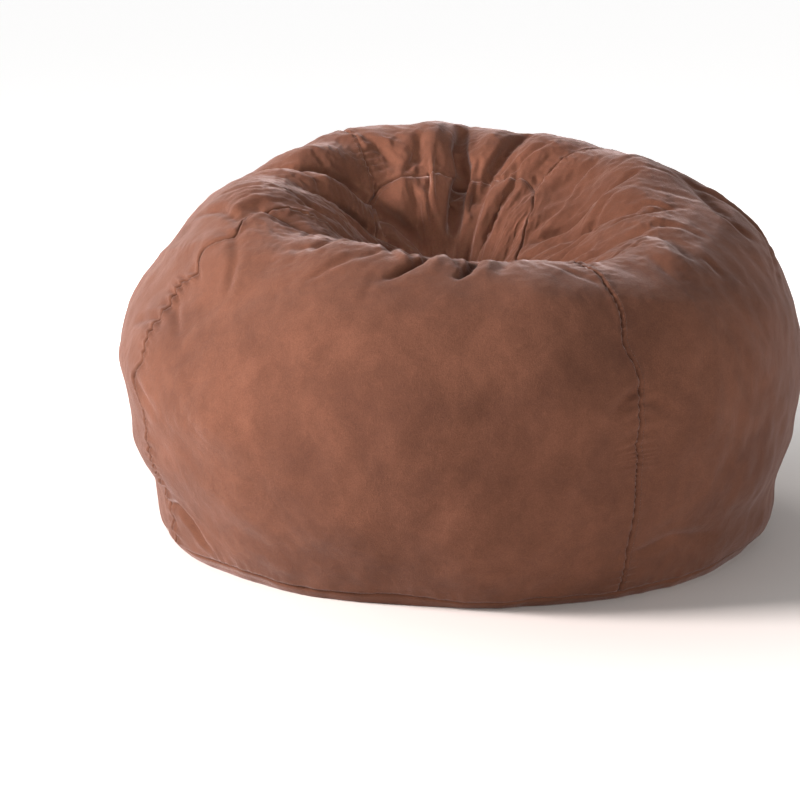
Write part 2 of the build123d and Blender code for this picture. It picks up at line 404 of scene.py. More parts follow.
def grid_mesh(name, points, closed=False, first_pole=False, last_pole=False, hole=None):
    """One quad mesh from a grid of points, closed in its second direction if asked. A pole closes
    the first or last row with a fan to its middle. hole marks the grid's faces to leave out."""
    rows, across = points.shape[:2]
    index = np.arange(rows * across).reshape(rows, across)
    ahead = np.roll(index, -1, 1)
    if not closed:
        index, ahead = index[:, :-1], ahead[:, :-1]
    quads = np.stack([index[:-1], ahead[:-1], ahead[1:], index[1:]], -1)
    if hole is not None:
        quads = quads[~hole]
    faces = quads.reshape(-1, 4).tolist()
    corners = points.reshape(-1, 3)
    if first_pole:
        corners = np.concatenate([corners, points[0].mean(0, keepdims=True)])
        faces += [[len(corners) - 1, b, a] for a, b in zip(index[0].tolist(), ahead[0].tolist())]
    if last_pole:
        corners = np.concatenate([corners, points[-1].mean(0, keepdims=True)])
        faces += [[a, b, len(corners) - 1] for a, b in zip(index[-1].tolist(), ahead[-1].tolist())]
    return new_piece(name, corners.tolist(), faces)


def sewn(piece, finish, thickness, node):
    """Give a cloth piece its thickness inwards and its finish, set it on the bag's body, and hide
    the part that it stands for."""
    thick = piece.modifiers.new("thickness", "SOLIDIFY")
    thick.thickness = thickness
    thick.offset = -1
    piece.data.materials.append(finish)
    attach(piece, "bag")
    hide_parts(node)


def linear(hex_colour):
    """An sRGB hex colour as linear red, green, blue and alpha."""
    values = np.array([int(hex_colour[i:i + 2], 16) for i in (1, 3, 5)]) / 255
    values = np.where(values <= 0.04045, values / 12.92, ((values + 0.055) / 1.055) ** 2.4)
    return (*values.tolist(), 1)


def add_node(tree, kind, links=None, **settings):
    """One node with its settings; links gives its inputs, by name or number, a value or another
    node's output."""
    node = tree.nodes.new(kind)
    for name, value in settings.items():
        setattr(node, name, value)
    for name, value in (links or {}).items():
        if isinstance(value, bpy.types.NodeSocket):
            tree.links.new(value, node.inputs[name])
        else:
            node.inputs[name].default_value = value
    return node


def cloth_finish(name, colours, **sockets):
    """A new material's node tree, its main shader, its place socket and a function that blends
    colours by a 0 to 1 socket; sockets are the shader's own settings."""
    material = bpy.data.materials.new(name)
    material.use_nodes = True
    tree = material.node_tree
    shader = tree.nodes["Principled BSDF"]
    for socket, value in sockets.items():
        shader.inputs[socket.replace("_", " ")].default_value = value
    place = add_node(tree, "ShaderNodeTexCoord").outputs["Object"]

    def paint(factor):
        ramp = add_node(tree, "ShaderNodeValToRGB", {"Fac": factor})
        stops = ramp.color_ramp.elements
        for number, (position, colour) in enumerate(colours):
            stop = stops[number] if number < 2 else stops.new(position)
            stop.position = position
            stop.color = linear(colour)
        tree.links.new(ramp.outputs["Color"], shader.inputs["Base Color"])

    return material, tree, shader, place, paint


def roughen(tree, shader, height, strength, distance):
    """Bump of the given height socket on the shader, distance metres deep."""
    bump = add_node(tree, "ShaderNodeBump", {
        "Height": height, "Strength": strength, "Distance": distance,
    })
    tree.links.new(bump.outputs["Normal"], shader.inputs["Normal"])


def mixed(tree, first, share, second):
    """first times share plus second, each a socket or a number."""
    return add_node(tree, "ShaderNodeMath", {0: first, 1: share, 2: second},
                    operation="MULTIPLY_ADD").outputs[0]


# Faux suede: polyester microfibre with a brushed nap. It has no gloss, a faint light edge where
# the nap stands up, and clouds of lighter and darker brown where it has been stroked.
suede, tree, shader, place, paint = cloth_finish(
    "brushed faux suede",
    [(0.34, "#492C21"), (0.70, "#6A4434"), (0.48, "#553527"), (0.58, "#5F3C2D")],
    Roughness=0.94, Specular_IOR_Level=0.20, Sheen_Weight=0.40, Sheen_Roughness=0.34,
    Sheen_Tint=linear("#D6C3C2"),
)
stroked = add_node(tree, "ShaderNodeTexNoise", {
    "Vector": place, "Scale": 1 / 0.16, "Detail": 4, "Roughness": 0.5, "Distortion": 0.8,
}).outputs["Fac"]
handled = add_node(tree, "ShaderNodeTexNoise", {
    "Vector": place, "Scale": 1 / 0.030, "Detail": 4, "Roughness": 0.68, "Distortion": 0.4,
}).outputs["Fac"]
# the fibres are a tenth of a millimetre, so the nap is drawn in tufts of 2 mm to show at all
tufts = add_node(tree, "ShaderNodeTexNoise", {
    "Vector": place, "Scale": 1 / 0.0022, "Detail": 2, "Roughness": 0.7,
}).outputs["Fac"]
clouds = mixed(tree, stroked, 0.40, mixed(tree, handled, 0.24, mixed(tree, tufts, 0.36, 0.0)))
paint(clouds)
roughen(tree, shader, mixed(tree, handled, 2.0, tufts), 0.7, 0.0009)

cover_thickness = 0.0012
seam_turned_in = 0.007  # of each seam's edge that lies inside the cover
topstitch_setback = 0.008
foot_row_gap = 0.013  # metres between two rows of the grid, at the foot
cap_row_gap = 0.010  # and at the cap's seam
zip_rows = (row_of["slot_low"], row_of["slot_high"])

# How far each gore seam strays from its own bearing: metres past the crest and degrees
seam_strays = {
    "front": [(-0.8, 2), (-0.58, 3), (-0.48, 4), (-0.41, 0), (-0.36, 2.5), (-0.31, 0),
              (-0.24, -0.5), (-0.19, -2), (-0.16, 2.5), (-0.12, -2.5), (-0.05, 2), (-0.02, -4),
              (0.02, -7), (0.08, -9), (0.2, -6), (0.29, -4)],
    "right": [(-0.8, -3), (-0.62, -4), (-0.49, -4.5), (-0.4, -4.5), (-0.33, -3.5),
              (-0.3, -2.5), (-0.22, -3.5), (-0.15, -2), (-0.07, -0.8), (0.02, 0), (0.29, 2)],
    "back": [(-0.4, 0), (-0.2, 4), (0, 11), (0.06, 13), (0.12, 17), (0.2, 14), (0.29, 10)],
    "left": [(-0.4, 0), (-0.25, 2), (-0.1, -2), (0.05, 1), (0.15, 3), (0.29, 2)]
}
cap_shift = 16  # rows that the cap lies up the hollow's back wall
least_seam_share = 0.35  # of a seam's groove where the zips need a true shape


def cap_edge(column):
    """The row where the cap's seam runs at each column: higher up the wall at the back."""
    off = np.abs(turn_between(np.radians(column), 92))
    share = np.clip((62 - off) / 34, 0, 1)
    return row_of["cap_seam"] + 2 - (cap_shift + 2) * eased(share)


def seam_stray(side_name, row):
    """Degrees that a seam strays at each row, smoothed, with a little sway of its own."""
    up = np.interp(row, np.arange(len(walked)), row_ups)
    ups, strays = np.array(seam_strays[side_name], float).T
    spread = np.array([-0.012, -0.004, 0.004, 0.012])
    stray = np.interp(up[..., None] + spread, ups, strays).mean(-1)
    return stray + 0.22 * np.sin(up * 61 + len(side_name)) * np.clip((up + 0.5) / 0.1, 0, 1)


def seam_pucker(along, distance, key, strength):
    """Height of the small folds that a seam draws across itself: waves along it, of a pitch that
    drifts, that fade a few centimetres away."""
    drift = 5 * np.sin(along * 19 + key) + 3 * np.sin(along * 43 + 2 * key)
    wave = np.sin(along * 2 * np.pi / 0.031 + drift + distance * 45)
    uneven = 0.55 + 0.45 * np.sin(along * 13 + 3 * key)
    return strength * wave * uneven * np.exp(-((distance - 0.009) / 0.019) ** 2)


# Fine creases pressed into the cloth: path, depth and width
fine_folds = [
    ([(89, -0.04), (90, 0.05), (88, 0.11), (91, 0.17), (93, 0.24)], 0.03, 0.009),
    ([(72, -0.05), (75, 0.06), (79, 0.13), (80, 0.17)], 0.018, 0.008),
    ([(153, -0.03), (151, 0.04), (138, 0.1), (127, 0.15), (118, 0.23), (104, 0.33)], 0.022, 0.008),
    ([(168, 0.1), (156, 0.15), (144, 0.2), (126, 0.3)], 0.016, 0.007),
    ([(164, 0.115), (158, 0.15)], 0.016, 0.008),
    ([(154, 0.165), (144, 0.2)], 0.016, 0.008),
    ([(103, 0.03), (105, 0.08), (112, 0.12)], 0.009, 0.006),
    ([(97, 0.05), (99, 0.12), (101, 0.2)], 0.008, 0.008),
    ([(83, 0.09), (83, 0.16), (87, 0.23)], 0.01, 0.007),
    ([(68, 0.09), (66, 0.15), (70, 0.21)], 0.008, 0.006),
    ([(66, 0.15), (70, 0.22), (76, 0.32)], 0.014, 0.008),
    ([(80, 0.17), (82, 0.24), (86, 0.34)], 0.012, 0.008),
    ([(104, 0.12), (106, 0.2), (100, 0.3)], 0.01, 0.008),
    ([(112, 0.16), (110, 0.24), (104, 0.32)], 0.009, 0.008),
    ([(-99, 0.04), (-98, 0.02), (-100, -0.01), (-105, -0.055)], 0.013, 0.006),
    ([(-87, 0.04), (-86, 0.02), (-87, -0.01), (-90, -0.05)], 0.013, 0.006),
    ([(-110, 0.03), (-113, 0), (-119, -0.04)], 0.006, 0.008),
    ([(18, 0.15), (25, 0.21), (36, 0.27)], 0.012, 0.008),
    ([(-4, 0.11), (4, 0.17), (18, 0.24)], 0.009, 0.008),
    ([(-56, 0.03), (-44, 0.05), (-24, 0.04)], 0.006, 0.009),
    ([(4, -0.083), (-2, -0.1), (-6, -0.16)], 0.009, 0.008),
    ([(20, -0.07), (12, -0.12), (2, -0.21), (-12, -0.26)], 0.007, 0.007),
    ([(28, -0.06), (20, -0.13), (10, -0.2)], 0.006, 0.007),
    ([(-60, -0.29), (-66, -0.33)], 0.006, 0.008),
    ([(-61, -0.31), (-55, -0.36)], 0.006, 0.008),
    ([(-160, -0.03), (-170, -0.05), (-178, -0.1)], 0.008, 0.008),
    ([(-153, -0.05), (-145, -0.09), (-140, -0.16)], 0.005, 0.009),
    ([(-154, -0.23), (-147, -0.27)], 0.006, 0.009),
    ([(-156, -0.28), (-165, -0.33)], 0.006, 0.009),
    ([(-154, -0.41), (-146, -0.46)], 0.006, 0.01),
    ([(-155, -0.71), (-148, -0.7), (-144, -0.72), (-140, -0.765)], 0.01, 0.008),
    ([(-60, -0.71), (-52, -0.69), (-40, -0.72)], 0.005, 0.01)
]


rng = np.random.default_rng(23)


def pleated(every, sway, tops, lengths, bend, joints, depths, widths):
    """Random pleats that run up the bag every so many degrees: each starts between tops, sways
    as it goes, and is as long, deep and wide as the ranges say."""
    turns = np.arange(-180, 180, every)
    for turn in turns + rng.uniform(-sway, sway, len(turns)):
        ups = rng.uniform(*tops) + rng.uniform(*lengths) * np.linspace(0, 1, joints + 1)
        bends = np.append(0, np.cumsum(rng.uniform(-bend, bend, joints)))
        path = list(zip(turn + bends, ups))
        fine_folds.append((path, rng.uniform(*depths), rng.uniform(*widths)))


# down the hollow's walls, over its crest, and round its bottom
pleated(9, 4, (-0.02, 0.12), (0.07, 0.20), 7, 2, (0.003, 0.009), (0.005, 0.009))
pleated(15, 6, (-0.16, -0.03), (0.05, 0.12), 8, 1, (0.002, 0.005), (0.006, 0.010))
pleated(18, 7, (0.15, 0.25), (0.08, 0.14), 12, 1, (0.007, 0.014), (0.006, 0.010))


def cover_surface(row, column, lift=0.0, fine=True):
    """Points and outward normals of the settled cover at fractional rows and columns, with the
    cloth's fine creases and its small rolls over the beads, raised by lift."""
    points = between(settled, row, column)
    normals = between(settled_normal, row, column)
    normals /= np.linalg.norm(normals, axis=-1, keepdims=True)
    quiet = np.clip(between(calm[..., None], row, column)[..., 0], 0, 1)
    flat = between(smooth, row, column)
    height = 0.0007 * lumpy(flat, 0.070, 11) + 0.00015 * lumpy(flat, 0.022, 12)
    if fine:
        height = height + folded(flat, fine_folds)
    seam_share = np.maximum(quiet, least_seam_share)
    points = points + normals * (height * quiet + lift * seam_share)[..., None]
    return points, normals


def round_seam(gap):
    """Height beside a seam that runs round the bag, gap metres away: a groove and a low roll."""
    return 0.0010 * hump(gap, 0.009, 0.008) - 0.0045 * np.exp(-(gap / 0.0026) ** 2)


def gore_lift(row, straight, column, sides, first, last):
    """Height that the seams give a gore at each point: a groove where the edges turn in, a low
    roll beside it, and puckers."""
    points = between(settled, row, straight)
    radius = np.linalg.norm(points[..., :2], axis=-1)
    along = np.interp(row, np.arange(len(walked)), walked)
    height = 0
    pairs = ((np.radians(straight - first) * radius, sides[0]),
             (np.radians(last - straight) * radius, sides[1]))
    for distance, side_name in pairs:
        strength = 0.0038 if side_name == "front" else 0.0024
        key = seam_bearings[side_name]
        pulled = 0.62 + 0.38 * np.sin(along * 2 * np.pi / 0.021 + 4 * np.sin(along * 31 + key))
        groove = -0.0052 * pulled * np.exp(-(distance / 0.0022) ** 2)
        roll = 0.0009 * hump(distance, 0.009, 0.008)
        dimple = 0.0009 * np.sin(along * 2 * np.pi / 0.0125 + key) * hump(distance, 0.006, 0.009)
        height = height + groove + roll + dimple + seam_pucker(along, distance, key, strength)
    edges = ((row_of["base_seam"], foot_row_gap, belly_radius, 0.0010),
             (cap_edge(column), cap_row_gap, 0.30, 0.0008))
    for edge_row, spacing, edge_radius, strength in edges:
        gap = np.abs(row - edge_row) * spacing
        height = height + round_seam(gap)
        height = height + seam_pucker(np.radians(straight) * edge_radius, gap, 3, strength)
    return height


def gore_place(row, straight, first, last, sides):
    """The stray column of a gore's point whose even column is straight."""
    side = np.clip((straight - first) / (last - first), 0, 1)
    return (straight + seam_stray(sides[0], row) * (1 - side) ** 2.5
            + seam_stray(sides[1], row) * side ** 2.5)


seam_steps = np.array([0, 1.3, 2.6, 4.2, 6.2, 8.6, 11.5, 15, 19, 24, 30]) / 1000


def gore_rows(straight, first, last, sides, count):
    """Rows of a gore from its base seam to its cap seam, closer together near both, for each
    column. Below the belly they are the same for every column."""
    low = row_of["base_seam"]
    split = row_of["belly"]
    edge = np.array([0, 0.1, 0.22, 0.4, 0.65])
    lower = np.concatenate([low + edge, np.arange(low + 1, split, 0.5)])
    share = np.linspace(0, 1, count)
    top = cap_edge(straight)
    for _ in range(4):
        top = cap_edge(gore_place(top, straight, first, last, sides))
    top = top[None, :]
    upper = split + share[:, None] * (top - 0.7 - split)
    finish = top - np.array([0.45, 0.25, 0.1, 0])[:, None]
    return np.concatenate([lower[:, None] + 0 * top, upper, finish])


sides_in_turn = list(seam_bearings)
panel_spans = {}
for number, side_name in enumerate(sides_in_turn):
    next_side = sides_in_turn[(number + 1) % 4]
    first = seam_bearings[side_name]
    last = seam_bearings[next_side]
    last += 360 if last < first else 0
    panel_spans[side_name] = (first, last, (side_name, next_side))


def panel_area(first, last):
    """Area of the smooth bag between two columns, from the base seam to the cap seam, as the sum
    of its squares' own."""
    wall = smooth[row_of["base_seam"]:row_of["cap_seam"] + 1]
    patch = wall[:, np.arange(first, last + 1) % columns]
    along = patch[1:, :-1] - patch[:-1, :-1]
    around = patch[:-1, 1:] - patch[:-1, :-1]
    return float(np.linalg.norm(np.cross(along, around), axis=-1).sum())


gore_length = 1.12  # from the base seam to the cap seam
round_share = 0.78  # of its flat square that a round panel fills
for side_name, (first, last, sides) in panel_spans.items():
    near = np.degrees(seam_steps / belly_radius)
    inner_columns = np.linspace(first + near[-1], last - near[-1], int((last - first) * 1.5))
    straight = np.concatenate([first + near[:-1], inner_columns, (last - near[:-1])[::-1]])
    if side_name == "back":
        straight = np.union1d(straight, zip_bearings)
    rows = gore_rows(straight, first, last, sides, 150)
    straight = straight[None, :] + 0 * rows
    column = gore_place(rows, straight, first, last, sides)
    lift = gore_lift(rows, straight, column, sides, first, last)
    points, normals = cover_surface(rows, column, lift)
    turned = points - normals * seam_turned_in
    hole = None
    if side_name == "back":
        middle_row = (rows[1:, 1:] + rows[:-1, :-1]) / 2
        middle_column = (straight[1:, 1:] + straight[:-1, :-1]) / 2
        hole = ((middle_row > zip_rows[0]) & (middle_row < zip_rows[1])
                & (middle_column > zip_bearings[0]) & (middle_column < zip_bearings[1]))
        hole = np.pad(hole, ((0, 1), (1, 1)))
    cloth = np.concatenate([turned[:, :1], points, turned[:, -1:]], 1)
    cloth = np.concatenate([cloth, np.pad(turned[-1:], ((0, 0), (1, 1), (0, 0)), mode="edge")])
    gore = grid_mesh(f"cover_{side_name}_panel_cloth", cloth, hole=hole)
    sewn(gore, suede, cover_thickness, f"cover_{side_name}_panel")

# -------------------- cover cap
# The round cap of the same suede that closes the gores. The sitter's weight has pushed it down
# into the hollow and towards the back, and its slack lies in folds that run to the middle.
around = np.arange(0, 360, 0.5)
share = np.linspace(0, 1, 48)[:, None]
cap_row = cap_edge(around) + share * (row_of["middle"] - cap_edge(around))
cap_lift = round_seam((cap_row - cap_edge(around)) * cap_row_gap)
cap_points, cap_normals = cover_surface(cap_row, around + 0 * cap_row, cap_lift)
cap_points = np.concatenate([cap_points[:1] - cap_normals[:1] * seam_turned_in, cap_points])
cap = grid_mesh("cover_top_cap_cloth", cap_points, closed=True, last_pole=True)
sewn(cap, suede, cover_thickness, "cover_top_cap")

# -------------------- cover base
# The round suede panel under the bag. Its rim turns up the wall to the base seam, and the weight
# of the beads presses the rest flat on the floor.
rim_rows = np.linspace(0, row_of["base_seam"], 7)[:, None]
rim_points, rim_normals = cover_surface(rim_rows, around + 0 * rim_rows, fine=False)
rim_points[..., 2] = np.maximum(rim_points[..., 2], 0)
rim_points[0, :, 2] = 0
rim_inside = rim_points[-1:] - rim_normals[-1:] * seam_turned_in
rim_points = rim_points - rim_normals * (0.0035 * hump(rim_rows, 2, 0.35))[..., None]
flat_part = rim_points[:1] * np.linspace(0.03, 0.985, 40)[:, None, None]
base = grid_mesh("cover_base_panel_cloth", np.concatenate([flat_part, rim_points, rim_inside]),
                 closed=True, first_pole=True)
base_across = 1.15
sewn(base, suede, cover_thickness, "cover_base_panel")

# -------------------- seam stitching
# Topstitching in brown bonded polyester thread, 8 mm beside each seam, which holds the turned-in
# edges flat. Each stitch shows as one short raised lozenge of thread.
stitch_pitch = 0.0052
stitch_length = 0.0040
stitch_radius = 0.00042


def grained(name, colours, grain, detail, crispness, strength, depth, **sockets):
    """A finish whose colour and relief both follow one random grain, grain metres wide."""
    material, tree, shader, place, paint = cloth_finish(name, colours, **sockets)
    pattern = add_node(tree, "ShaderNodeTexNoise", {
        "Vector": place, "Scale": 1 / grain, "Detail": detail, "Roughness": crispness,
    }).outputs["Fac"]
    paint(pattern)
    roughen(tree, shader, pattern, strength, depth)
    return material


# Bonded polyester thread: three dark plies twisted hard, with a slight shine on each
thread = grained(
    "bonded polyester thread", [(0.30, "#2E1A13"), (0.70, "#5F3D2F")],
    0.0008, 2, 0.5, 0.4, 0.0001,
    Roughness=0.55, Specular_IOR_Level=0.4, Sheen_Weight=0.15,
)

def stitch_row(line, outwards):
    """Points of one row of stitches along a line: each stitch is a six-sided tube that swells
    from nothing to its full radius and back, laid along the line, a pitch apart."""
    walk = np.concatenate([[0], np.cumsum(np.linalg.norm(np.diff(line, axis=0), axis=1))])
    centres = np.arange(stitch_pitch / 2, walk[-1] - stitch_pitch / 2, stitch_pitch)
    ends = np.stack([centres - stitch_length / 2, centres + stitch_length / 2])
    at = np.stack([[np.interp(end, walk, line[:, k]) for end in ends] for k in range(3)], -1)
    up = np.stack([np.interp(centres, walk, outwards[:, k]) for k in range(3)], -1)
    up /= np.linalg.norm(up, axis=1, keepdims=True)
    run = at[1] - at[0]
    side = np.cross(run, up)
    side /= np.linalg.norm(side, axis=1, keepdims=True)
    share = np.array([0, 0.18, 0.5, 0.82, 1])
    swelling = stitch_radius * np.array([0.25, 0.85, 1, 0.85, 0.25])
    turn = np.arange(6) * np.pi / 3
    middle = at[0][:, None] + share[None, :, None] * run[:, None]
    middle = middle - up[:, None] * (0.0006 * np.array([1, 0.2, 0, 0.2, 1]))[None, :, None]
    ring = (np.cos(turn)[None, None, :, None] * side[:, None, None]
            + np.sin(turn)[None, None, :, None] * up[:, None, None])
    return middle[:, :, None] + ring * swelling[None, :, None, None]


def stitching(name, lines, node):
    """One piece of all the stitch rows on the given (line, outward normals) pairs."""
    tubes = np.concatenate([stitch_row(line, outwards) for line, outwards in lines])
    count, rings, sides = tubes.shape[:3]
    index = np.arange(tubes.size // 3).reshape(count, rings, sides)
    ahead = np.roll(index, -1, 2)
    walls = np.stack([index[:, :-1], index[:, 1:], ahead[:, 1:], ahead[:, :-1]], -1)
    caps = np.concatenate([index[:, 0], index[:, -1, ::-1]]).tolist()
    piece = new_piece(name, tubes.reshape(-1, 3).tolist(), walls.reshape(-1, 4).tolist() + caps)
    piece.data.materials.append(thread)
    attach(piece, "bag")
    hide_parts(node)


gore_lines = []
for side_name, (first, last, sides) in panel_spans.items():
    line_column = np.full((1, 1), float(first))
    line_rows = gore_rows(line_column[0], first, last, sides, 400)[4:-4]
    for _ in range(2):
        radius = np.linalg.norm(between(settled, line_rows, line_column)[..., :2], axis=-1)
        line_straight = first + np.degrees(topstitch_setback / radius)
    column = gore_place(line_rows, line_straight, first, last, sides)
    lift = gore_lift(line_rows, line_straight, column, sides, first, last)
    line, outwards = cover_surface(line_rows, column, lift + stitch_radius * 0.7)
    gore_lines.append((line[:, 0], outwards[:, 0]))
stitching("cover_gore_stitching_thread", gore_lines, "cover_gore_stitching")

round_columns = np.arange(0, 360.5, 0.5)[None, :]
stitch_lift = 0.0010 + stitch_radius * 0.7  # on the low roll beside the seam
ring_rows = cap_edge(round_columns) + 0.8
ring_line, ring_out = cover_surface(ring_rows, round_columns, stitch_lift)
stitching("cover_cap_stitching_thread", [(ring_line[0], ring_out[0])], "cover_cap_stitching")
foot_rows = row_of["base_seam"] + 0.5 + 0 * round_columns
foot_line, foot_out = cover_surface(foot_rows, round_columns, stitch_lift, fine=False)
stitching("cover_base_stitching_thread", [(foot_line[0], foot_out[0])], "cover_base_stitching")

# -------------------- zips
# Two curved coil zips low at the back, one in the cover and one in the liner: woven polyester
# tapes, moulded nylon coils, and a childproof slider and stops of brown-lacquered zinc. They keep
# their own shapes and take these finishes.
cover_tape = grained(
    "woven polyester zip tape", [(0.35, "#33201A"), (0.65, "#4E342A")],
    0.0010, 3, 0.6, 0.6, 0.0002,
    Roughness=0.85, Specular_IOR_Level=0.3, Sheen_Weight=0.1,
)
liner_tape = grained(
    "undyed polyester zip tape", [(0.35, "#BDB6A8"), (0.65, "#DAD4C8")],
    0.0010, 3, 0.6, 0.6, 0.0002,
    Roughness=0.85, Specular_IOR_Level=0.3, Sheen_Weight=0.1,
)


coil_radius = 0.571  # of the coil's own curve round the bag
coil_pitch = 0.0012


def toothed(name, dark, light):
    """Nylon coil: glossy moulded turns round the bag, drawn two pitches wide so that they show, as
    ridges and as stripes of painted shade, dark in the grooves between the turns and light on the
    ridges."""
    material, tree, shader, place, paint = cloth_finish(
        name, [(0.25, dark), (0.75, light)], Roughness=0.38, Specular_IOR_Level=0.5,
    )
    parts = add_node(tree, "ShaderNodeSeparateXYZ", {0: place}).outputs
    turn = add_node(tree, "ShaderNodeMath", {0: parts[1], 1: parts[0]}, operation="ARCTAN2")
    turns_round = 2 * np.pi * coil_radius / (2 * coil_pitch)
    wave = add_node(tree, "ShaderNodeMath", {0: turn.outputs[0], 1: turns_round},
                    operation="MULTIPLY")
    ridge = add_node(tree, "ShaderNodeMath", {0: wave.outputs[0]}, operation="SINE")
    height = mixed(tree, ridge.outputs[0], 0.5, 0.5)
    # painted shade: the same ridge height darkens the grooves and lightens the ridges
    paint(height)
    roughen(tree, shader, height, 0.9, 0.0005)
    return material


lacquered_zinc = grained(
    "lacquered zinc die casting", [(0.35, "#6B5140"), (0.70, "#8A6E58")],
    0.003, 3, 0.6, 0.25, 0.0001,
    Roughness=0.34, Metallic=0.9,
)
cover_coil = toothed("dark nylon coil", "#1F130F", "#46302A")
liner_coil = toothed("undyed nylon coil", "#A8A193", "#DAD4C8")
for zip_name, tape, coil in (("cover_zip", cover_tape, cover_coil),
                             ("liner_zip", liner_tape, liner_coil)):
    finishes = {"upper_tape": tape, "lower_tape": tape, "upper_coil": coil, "lower_coil": coil,
                "slider": lacquered_zinc, "end_stops": lacquered_zinc}
    for part, finish in finishes.items():
        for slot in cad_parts[f"{zip_name}_{part}"].material_slots:
            slot.material = finish

# -------------------- care label
# A blank satin ribbon label, caught in by a row of stitches at its top edge beside the zip.
label_bearing = 28
label_size = (0.032, 0.055)
label_thickness = 0.0004

satin = grained(
    "woven satin label", [(0.30, "#CFC8BB"), (0.70, "#E6E0D4")],
    0.0011, 3, 0.5, 0.3, 0.0001,
    Roughness=0.42, Specular_IOR_Level=0.45, Sheen_Weight=0.2,
)

label_low, label_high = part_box("care_label")
down = np.linspace(0, 1, 24)[:, None]
across = np.linspace(-0.5, 0.5, 14)[None, :]
label_heights = label_low.z + 0.001 + down * (label_high.z - label_low.z - 0.002)
label_rows = np.interp(label_heights, smooth[:row_of["belly"], label_bearing, 2],
                       np.arange(row_of["belly"]))
label_columns = label_bearing + across * np.degrees(label_size[0] / 0.60)
curl = 0.0016 + 0.0008 * np.sin(down * 5 + across * 2) * (1 - down) + 0.0010 * (1 - down) ** 2
label_points, label_normals = cover_surface(label_rows + 0 * across, label_columns + 0 * down,
                                            fine=False)
label_points = label_points + label_normals * curl[..., None]
label = grid_mesh("care_label_ribbon", label_points)
sewn(label, satin, label_thickness, "care_label")

# -------------------- liner
# The inner bag of plain woven polyester that holds the beads, cut in the same gores, cap and base
# as the cover and lying close inside it.
liner_thickness = 0.0008
liner_inset = 0.0045 + 0.0060 * calm  # inside the cover, closest by the zips
liner_base_height = 0.0045

plain_weave = grained(
    "plain woven polyester lining", [(0.35, "#C9C2B4"), (0.65, "#E2DCD0")],
    0.0012, 3, 0.6, 0.5, 0.0003,
    Roughness=0.82, Specular_IOR_Level=0.3, Sheen_Weight=0.15,
)


def under_cover(inset):
    """The smooth bag pressed in, at every place, to the deepest cover within three squares of the
    grid, less the inset."""
    lowest = ((settled - smooth) * smooth_normal).sum(-1) + cover_creases
    for _ in range(3):
        edged = np.pad(lowest, ((1, 1), (0, 0)), mode="edge")
        lowest = np.minimum(lowest, np.minimum(edged[2:], edged[:-2]))
        lowest = np.minimum(lowest, np.minimum(np.roll(lowest, 1, 1), np.roll(lowest, -1, 1)))
    return smooth + smooth_normal * (lowest * calm - inset)[..., None]


cover_creases = folded(smooth, fine_folds) * calm
liner_grid = under_cover(liner_inset)
liner_grid[0, :, 2] = liner_base_height


def liner_panel(node, first_row, last_row, first, last, flat, area, **ends):
    """One liner panel: an inset copy of the settled bag between two rows and two columns."""
    rows = np.linspace(first_row, last_row, int(last_row - first_row) + 1)[:, None]
    cols = np.linspace(first, last, int((last - first) / 1.5) + 1)[None, :]
    cols = cols[:, :-1] if ends.get("closed") else cols
    points = between(liner_grid, rows, cols)
    if ends.get("first_pole"):
        disc = points[:1] * np.linspace(0.05, 0.97, 20)[:, None, None]
        disc[..., 2] = points[0, 0, 2]
        points = np.concatenate([disc, points])
    panel = grid_mesh(f"{node}_cloth", points, **ends)
    sewn(panel, plain_weave, liner_thickness, node)


for side_name, (first, last, _) in panel_spans.items():
    liner_panel(f"liner_{side_name}_panel", row_of["base_seam"], row_of["cap_seam"], first, last,
                flat=(np.radians(last - first) * belly_radius, gore_length),
                area=panel_area(first, last))
liner_cap_across = 0.36
liner_panel("liner_top_cap", row_of["cap_seam"], row_of["middle"], 0, 360,
            flat=(liner_cap_across, liner_cap_across), area=round_share * liner_cap_across ** 2,
            closed=True, last_pole=True)
liner_panel("liner_base_panel", 0, row_of["base_seam"], 0, 360,
            flat=(base_across, base_across), area=round_share * base_across ** 2,
            closed=True, first_pole=True)

# -------------------- bead fill
# Loose expanded-polystyrene beads, 3 to 5 mm across, as one lump that takes the liner's shape.
bead_size = 0.004
bead_inset = 0.0035  # inside the liner

foam, tree, shader, place, paint = cloth_finish(
    "expanded polystyrene beads", [(0.0, "#D9DAD8"), (0.6, "#F2F2F0")],
    Roughness=0.6, Specular_IOR_Level=0.4,
)
# each bead is a cell, painted light in its middle and darker towards its edge, as painted shade
# where the beads meet
bead_cells = add_node(tree, "ShaderNodeTexVoronoi", {"Vector": place, "Scale": 1 / bead_size})
bead_dome_and_shade = add_node(tree, "ShaderNodeMath", {0: 1.0, 1: bead_cells.outputs["Distance"]},
                      operation="SUBTRACT").outputs[0]
paint(bead_dome_and_shade)
roughen(tree, shader, bead_dome_and_shade, 0.8, 0.002)

bead_grid = under_cover(liner_inset + bead_inset)
bead_grid[0, :, 2] = liner_base_height + bead_inset
bead_rows = np.arange(0, row_of["middle"] + 1)[:, None]
bead_points = between(bead_grid, bead_rows, np.arange(0, 360, 1.5)[None, :])
bead_floor = bead_points[:1] * np.linspace(0.05, 0.97, 20)[:, None, None]
bead_floor[..., 2] = bead_points[0, 0, 2]
fill = grid_mesh("bead_fill_lump", np.concatenate([bead_floor, bead_points]), closed=True,
                 first_pole=True, last_pole=True)
fill.data.materials.append(foam)
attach(fill, "bag")
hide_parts("bead_fill")
